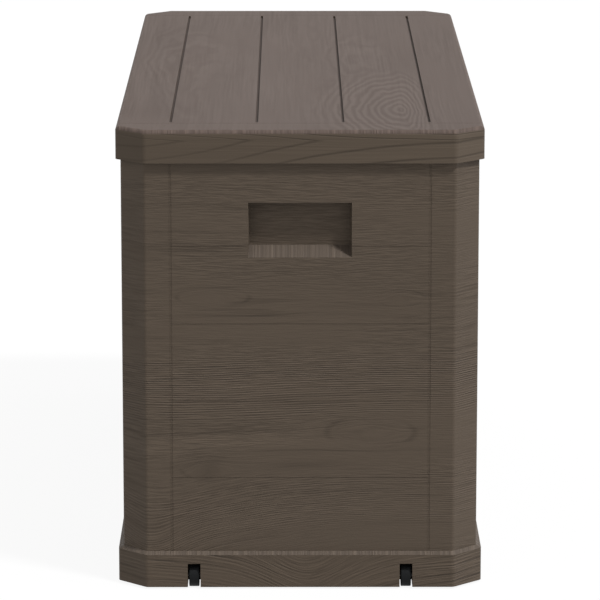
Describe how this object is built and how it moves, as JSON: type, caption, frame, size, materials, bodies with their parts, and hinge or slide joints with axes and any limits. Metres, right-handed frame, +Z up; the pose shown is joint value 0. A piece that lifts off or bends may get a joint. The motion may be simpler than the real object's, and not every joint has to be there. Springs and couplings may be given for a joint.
{
  "type": "deck storage box",
  "caption": "Outdoor storage chest with a hinged lid, moulded board walls, recessed end handles and small wheels at one end.",
  "frame": {"origin": "middle of the footprint, on the ground", "axes": "+X along the length towards the wheel end, -Y towards the opening front, +Z up"},
  "size_m": [1.14, 0.47, 0.6],
  "materials": {
    "taupe_plastic": "matte, embossed wood grain",
    "lid_plastic": "matte, embossed wood grain",
    "wheel_plastic": "matte",
    "foot_rubber": "matte",
    "zinc_steel": "zinc plated"
  },
  "bodies": {
    "root": {"base_tray": "taupe_plastic", "front_panel": "taupe_plastic", "back_panel": "taupe_plastic", "wheel_end_panel": "taupe_plastic", "far_end_panel": "taupe_plastic", "front_wheel_end_post": "taupe_plastic", "back_wheel_end_post": "taupe_plastic", "front_far_end_post": "taupe_plastic", "back_far_end_post": "taupe_plastic", "far_end_feet": "foot_rubber", "base_screws": "zinc_steel", "front_wheel_axle": "zinc_steel", "back_wheel_axle": "zinc_steel", "axle_rings": "zinc_steel", "left_body_leaf": "zinc_steel", "middle_body_leaf": "zinc_steel", "right_body_leaf": "zinc_steel", "left_hinge_pin": "zinc_steel", "middle_hinge_pin": "zinc_steel", "right_hinge_pin": "zinc_steel", "body_hinge_screws": "zinc_steel", "lock_plate": "zinc_steel", "lock_plate_screws": "zinc_steel"},
    "lid": {"lid_shell": "lid_plastic", "lid_bar_front": "zinc_steel", "lid_bar_back": "zinc_steel", "bar_saddles": "zinc_steel", "saddle_screws": "zinc_steel", "left_lid_leaf": "zinc_steel", "middle_lid_leaf": "zinc_steel", "right_lid_leaf": "zinc_steel", "lid_hinge_screws": "zinc_steel"},
    "front_wheel_body": {"front_wheel": "wheel_plastic"},
    "back_wheel_body": {"back_wheel": "wheel_plastic"}
  },
  "joints": [
    {"name": "lid_hinge", "type": "hinge", "parent": "root", "child": "lid", "pos_m": [0, 0.2318, 0.554], "axis": [-1, 0, 0], "range_deg": [0, 100]},
    {"name": "front_wheel_spin", "type": "hinge", "parent": "root", "child": "front_wheel_body", "pos_m": [0.5525, -0.1367, 0.016], "axis": [0, 1, 0], "continuous": true},
    {"name": "back_wheel_spin", "type": "hinge", "parent": "root", "child": "back_wheel_body", "pos_m": [0.5525, 0.1367, 0.016], "axis": [0, 1, 0], "continuous": true}
  ]
}
